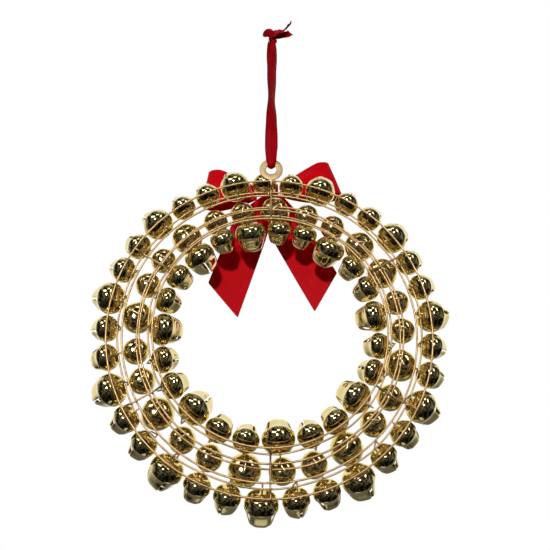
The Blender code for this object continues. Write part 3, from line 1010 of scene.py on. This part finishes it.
def add_bow_loop(side):
    """A full loop of ribbon, gathered where the wrap holds it and open at its far end."""
    rise, length = math.radians(BOW_LOOP_RISE[side]), BOW_LOOP_LENGTH[side]
    sign = 1 if side == "right" else -1
    out = RIGHT * sign * math.cos(rise) + UP * math.sin(rise)
    across = RIGHT * -sign * math.sin(rise) + UP * math.cos(rise)
    steps, columns = 72, 26
    grid, middle = [], []
    for i in range(steps + 1):
        turn = math.pi * (i / steps - 0.5) * 1.96
        reach_share = math.cos(turn / 2) ** 1.3
        reach = BOW_LOOP_START + (length - BOW_LOOP_START) * reach_share
        depth = BOW_LOOP_FULLNESS * math.sin(turn) * (1 + 0.25 * math.cos(turn)) + BOW_LOOP_FULLNESS
        pinch = min(1.0, 0.34 + 0.66 * min(1.0, reach_share * 1.35) ** 0.8)
        width, fold = gathered_width(pinch, 3)
        fade = (1 - reach_share) ** 1.5
        centre = bow_point(0, 0, depth) + out * reach
        face = math.sin(turn)
        row = []
        for k in range(columns + 1):
            share = 2 * k / columns - 1
            ripple = fold * math.cos(math.pi * 3 * share + 0.6 * sign)
            crease = 0.0010 * math.sin(2.3 * math.pi * share + 4 * reach_share) * fade
            soft = 0.0012 * math.cos(math.pi * share * 0.9) * reach_share * face
            droop = -0.0016 * share * reach_share * math.cos(turn)
            lift = math.copysign(0.9, face) * ripple + crease + soft
            row.append(centre + across * share * width / 2 + FORWARD * lift + out * droop)
        grid.append(row)
        middle.append(centre)
    lengths = running_lengths(middle)
    name = f"bow_loop_{side}_satin"
    mesh = ribbon_mesh(name, grid, lengths, edge_distances(BOW_RIBBON, columns), BOW_THICK, BOW_SATIN)
    made = settle(piece(name, mesh), "wreath", "ribbon", f"bow_loop_{side}")


def add_bow_tail(side):
    """A tail: gathered under the wrap, opening to its full width, and cut on the slant."""
    spread = math.radians(TAIL_SPREAD[side])
    sign = 1 if side == "right" else -1
    out = RIGHT * sign * math.sin(spread) + UP * -math.cos(spread)
    across = RIGHT * -sign * math.cos(spread) + UP * -math.sin(spread)
    lift = 0.0035 if side == "right" else 0.0
    steps, columns = 46, 22
    reach_start = 0.0085
    whole = 0.0123 + TAIL_LENGTH[side] - TAIL_CUT / 2
    grid, middle = [], []
    for i in range(steps + 1):
        share_along = i / steps
        grown = min(1.0, 0.36 + 0.64 * math.sin(min(1.0, share_along / 0.40) * math.pi / 2))
        width, fold = gathered_width(grown, 2.5)
        base = -across * TAIL_SHIFT[side] * (width - BOW_RIBBON * 0.40)
        row = []
        for k in range(columns + 1):
            share = 2 * k / columns - 1
            end = whole + TAIL_CUT * (share + 1) / 2
            reach = reach_start + (end - reach_start) * share_along
            if share_along < 0.5:
                even = reach_start + (whole - reach_start) * share_along
                reach = even + (reach - even) * (share_along / 0.5) ** 2
            ripple = fold * math.cos(math.pi * 2.5 * share + 0.4) * (1 - share_along) ** 0.5
            curl = 0.0022 * math.sin(math.pi * share_along) + 0.0011 * share * share_along
            wave = 0.0007 * math.sin(2.2 * math.pi * share_along + 1.4 * share)
            place = bow_point(0, 0, lift + curl + wave) + out * reach + base
            row.append(place + across * share * width / 2 + FORWARD * ripple)
        grid.append(row)
        middle.append(row[columns // 2])
    lengths = running_lengths(middle)
    name = f"bow_tail_{side}_satin"
    mesh = ribbon_mesh(name, grid, lengths, edge_distances(BOW_RIBBON, columns), BOW_THICK, BOW_SATIN)
    made = settle(piece(name, mesh), "wreath", "ribbon", f"bow_tail_{side}")


def add_bow_wrap():
    """The short band round the bow's middle: a creased tube of ribbon, flattened front to back."""
    columns, steps = 18, 56
    half_width, half_deep, half_high = WRAP_HALF
    grid, middle = [], []
    for i in range(steps + 1):
        t = math.tau * i / steps
        round_cos = math.copysign(abs(math.cos(t)) ** 0.72, math.cos(t))
        round_sin = math.copysign(abs(math.sin(t)) ** 0.72, math.sin(t))
        row = []
        for k in range(columns + 1):
            share = 2 * k / columns - 1
            crease = 1 + 0.035 * math.cos(5 * math.pi * share + 0.5) + 0.02 * math.sin(3 * t + 4 * share)
            waist = 1 - 0.10 * (1 - share**2)
            row.append(bow_point(
                share * half_width * (0.92 + 0.08 * abs(math.cos(t))),
                half_high * round_sin * waist * crease,
                BOW_LOOP_FULLNESS + half_deep * round_cos * crease,
            ))
        grid.append(row)
        middle.append(row[columns // 2])
    lengths = running_lengths(middle)
    width = 2 * half_width
    mesh = ribbon_mesh("bow_wrap_satin", grid, lengths, edge_distances(width, columns), WRAP_THICK, BOW_SATIN)
    made = settle(piece("bow_wrap_satin", mesh), "wreath", "ribbon", "bow_wrap")


# The tie wire's strands, the length of one twist, and the step along its route.
TIE_STRAND_R = 0.00034
TIE_TWIST = 0.0042
TIE_STEP = 0.0006
TIE_ANGLE = -8.0
TIE_ROUTE = (
    (0.1340, 0.0200),
    (0.1346, 0.0100),
    (0.1343, 0.0048),
    (0.1325, 0.0036),
    (0.1285, 0.0036),
    (0.1262, 0.0044),
    (0.1256, 0.0070),
)


def add_tie_wire():
    """The thin wire that holds the bow: two strands twisted together."""
    start = bow_point(0, 0, BOW_LOOP_FULLNESS - 0.0053)
    route = smooth_route([start] + [in_wreath(TIE_ANGLE, *place) for place in TIE_ROUTE], TIE_STEP)
    side = Vector((1, 0, 0))
    strands, offsets = [], []
    for i, centre in enumerate(route):
        along = (route[min(i + 1, len(route) - 1)] - route[max(i - 1, 0)]).normalized()
        side = (side - along * side.dot(along)).normalized()
        other = along.cross(side)
        turn = math.tau * i * TIE_STEP / TIE_TWIST
        offsets.append((math.cos(turn) * side + math.sin(turn) * other) * TIE_STRAND_R)
    for sign in (1, -1):
        strand = [centre + offset * sign for centre, offset in zip(route, offsets)]
        strands.append((tube_mesh("strand", strand, TIE_STRAND_R, 6, WIRE), STILL))
    made = piece("bow_tie_wire_twisted", joined("tie_wire", strands))
    settle(made, "wreath", "gold_wire", "bow_tie_wire")


# ---------------------------------------------------------------- studio

def add_camera():
    data = bpy.data.cameras.new("camera")
    data.lens = CAMERA_LENS
    data.sensor_width = 36.0
    data.clip_start = 0.01
    made = bpy.data.objects.new("camera", data)
    bpy.context.scene.collection.objects.link(made)
    up, turn = math.radians(CAMERA_LOOKS_UP), math.radians(CAMERA_TURN)
    ahead = Vector((-math.sin(turn) * math.cos(up), -math.cos(turn) * math.cos(up), math.sin(up)))
    level = ahead.cross(Vector((0, 0, 1))).normalized()
    placed = Matrix((level, level.cross(ahead), -ahead)).transposed().to_4x4()
    placed.translation = CAMERA_PLACE
    made.matrix_world = placed @ Matrix.Rotation(math.radians(CAMERA_ROLL), 4, "Z")
    bpy.context.scene.camera = made


# The floor's radius and its drop below the wreath, and where it fades out, as shares of the radius.
FLOOR_RADIUS = 3.0
FLOOR_DROP = 0.90
FLOOR_FADE = ((0.04, 1.0), (0.11, 0.0))


def add_floor():
    """A pale floor well below the wreath, which fades into the studio's own white."""
    work = bmesh.new()
    bmesh.ops.create_circle(work, cap_ends=True, segments=96, radius=FLOOR_RADIUS)
    mesh = bpy.data.meshes.new("floor")
    work.to_mesh(mesh)
    work.free()
    low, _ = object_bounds()
    made = piece("floor", mesh, Matrix.Translation((0, 0, low.z - FLOOR_DROP)))
    n = Nodes(bpy.data.materials.new("floor_pale"))
    n.put(n.shader, "Base Color", (0.86, 0.86, 0.85, 1))
    n.put(n.shader, "Roughness", 0.7)
    reach = n.add("ShaderNodeVectorMath", operation="LENGTH")
    n.put(reach, 0, n.object_place())
    fade = n.ramp(n.math("DIVIDE", reach.outputs["Value"], FLOOR_RADIUS), *FLOOR_FADE)
    mixed = n.mix_shaders(fade, n.add("ShaderNodeBsdfTransparent"), n.shader)
    n.put(n.tree.nodes["Material Output"], "Surface", mixed)
    mesh.materials.append(n.material)
    made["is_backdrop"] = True


# White in front and dark at the rear: (how far a direction points to the rear, grey).
STUDIO_RAMP = ((-1.0, 1.0), (-0.32, 1.0), (-0.16, 0.45), (0.02, 0.10), (0.32, 0.06), (1.0, 0.045))
# The floor's side is darker: directions from and to these heights, and their brightness.
LOW_SIDE = ((-0.65, 0.05), (0.15, 1.0))
# The dark side holds a room's dim shapes, which break up what the domes reflect: the noise's scale, its part
# that is used and how bright that gets, and how far to the rear the shapes begin and are in full.
ROOM_SCALE = 3.4
ROOM_SHAPES = ((0.46, 0.60), (0.15, 2.6))
ROOM_START = (-0.30, 0.05)


def add_world():
    """A white studio that is dark behind the bare side, where a photographer would stand."""
    world = bpy.data.worlds.new("studio")
    bpy.context.scene.world = world
    n = Nodes(world)
    n.tree.nodes.clear()
    place = n.add("ShaderNodeTexCoord").outputs["Generated"]
    split = n.add("ShaderNodeSeparateXYZ", Vector=place).outputs
    stops = [((position + 1) / 2, grey) for position, grey in STUDIO_RAMP]
    backdrop = n.ramp(n.spread(split["Y"], (-1.0, 1.0)), *stops, kind="B_SPLINE")
    low = n.spread(split["Z"], *LOW_SIDE, "SMOOTHSTEP")
    room = n.add("ShaderNodeMix", data_type="FLOAT")
    n.put(room, "Factor", n.spread(split["Y"], ROOM_START))
    n.put(room, "A", 1.0)
    n.put(room, "B", n.spread(n.noise(place, ROOM_SCALE, 1.0), *ROOM_SHAPES, "SMOOTHSTEP"))
    strength = n.math("MULTIPLY", n.math("MULTIPLY", backdrop, low), room.outputs[0])
    studio = n.add("ShaderNodeBackground", Color=(1.0, 0.99, 0.97, 1), Strength=strength)
    plain = n.add("ShaderNodeBackground", Color=(1, 1, 1, 1), Strength=1.0)
    seen = n.add("ShaderNodeLightPath").outputs["Is Camera Ray"]
    n.add("ShaderNodeOutputWorld", Surface=n.mix_shaders(seen, studio, plain))


# Each light: where it stands, its width and height, and its power. The key is small, for crisp shadows.
LIGHTS = (
    ("key", (0.22, 1.45, 0.16), 0.11, 0.11, 14.0),
    ("soft_left", (0.80, 1.00, 0.80), 0.75, 0.34, 2.4),
    ("soft_middle", (0.05, 0.95, 1.25), 0.50, 0.26, 1.2),
    ("soft_right", (-0.72, 1.05, 0.72), 0.26, 0.60, 1.5),
)


def add_lights():
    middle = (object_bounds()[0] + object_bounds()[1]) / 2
    for name, place, width, height, power in LIGHTS:
        data = bpy.data.lights.new(name, "AREA")
        data.shape = "RECTANGLE"
        data.size, data.size_y, data.energy = width, height, power
        made = bpy.data.objects.new(name, data)
        bpy.context.scene.collection.objects.link(made)
        made.location = place
        made.rotation_euler = (middle - Vector(place)).to_track_quat("-Z", "Y").to_euler()


def main():
    add_camera()
    add_world()
    add_floor()
    add_lights()
    add_rings()
    add_struts()
    add_washer()
    add_bells()
    add_bow_wrap()
    for side in ("left", "right"):
        add_bow_loop(side)
        add_bow_tail(side)
    add_tie_wire()
    add_hanger()
    add_knot()
    bpy.context.scene.view_settings.view_transform = "Standard"


main()
